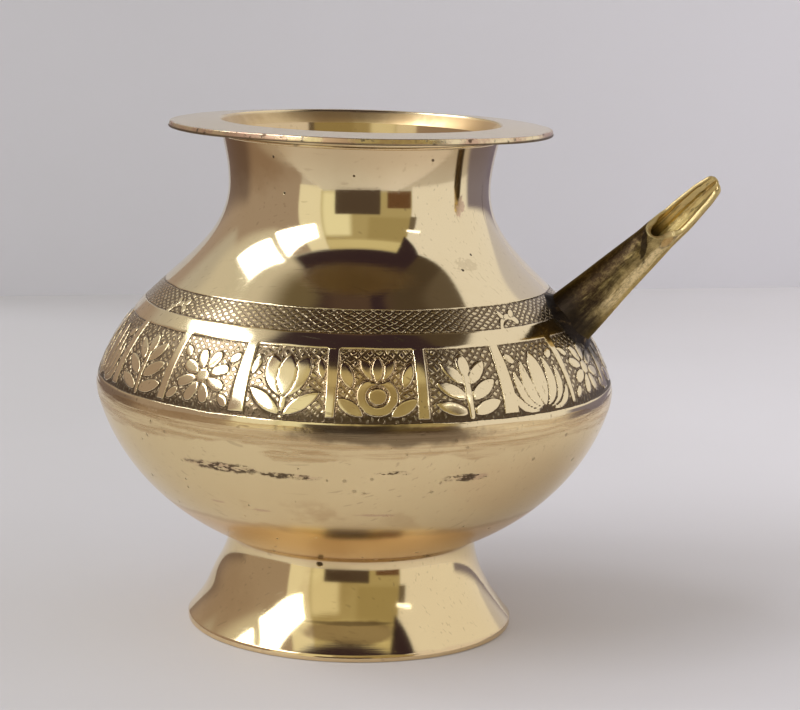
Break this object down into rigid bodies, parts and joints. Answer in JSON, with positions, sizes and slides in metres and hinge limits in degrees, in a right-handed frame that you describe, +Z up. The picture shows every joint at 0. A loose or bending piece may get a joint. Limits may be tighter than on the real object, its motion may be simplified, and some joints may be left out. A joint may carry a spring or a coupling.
{
  "type": "spouted water pot",
  "caption": "Round-bellied brass water pot with a flared foot, a wide flat rim, an engraved shoulder and a slanting side spout with a scooped mouth.",
  "frame": {"origin": "on the floor under the middle of the outer box; the pot's upright axis stands on the X axis, towards -X, because the spout reaches out over +X", "axes": "+Z up, +X towards the spout's tip, the spout's scooped mouth rolled towards -Y"},
  "size_m": [0.1296, 0.1084, 0.106],
  "materials": {
    "polished_brass": "turned and polished, lightly tarnished",
    "engraved_brass": "polished above, cut and darkened ground in the band",
    "spout_brass": "filed and half polished",
    "brazing_brass": "filed brazing, heat-stained"
  },
  "bodies": {
    "root": {"foot_ring": "polished_brass", "foot_braze": "brazing_brass", "bowl_shell": "polished_brass", "belly_braze": "brazing_brass", "shoulder_shell": "engraved_brass", "spout_tube": "spout_brass", "spout_braze": "brazing_brass", "rim_flange": "polished_brass", "rim_braze": "brazing_brass"}
  },
  "joints": []
}
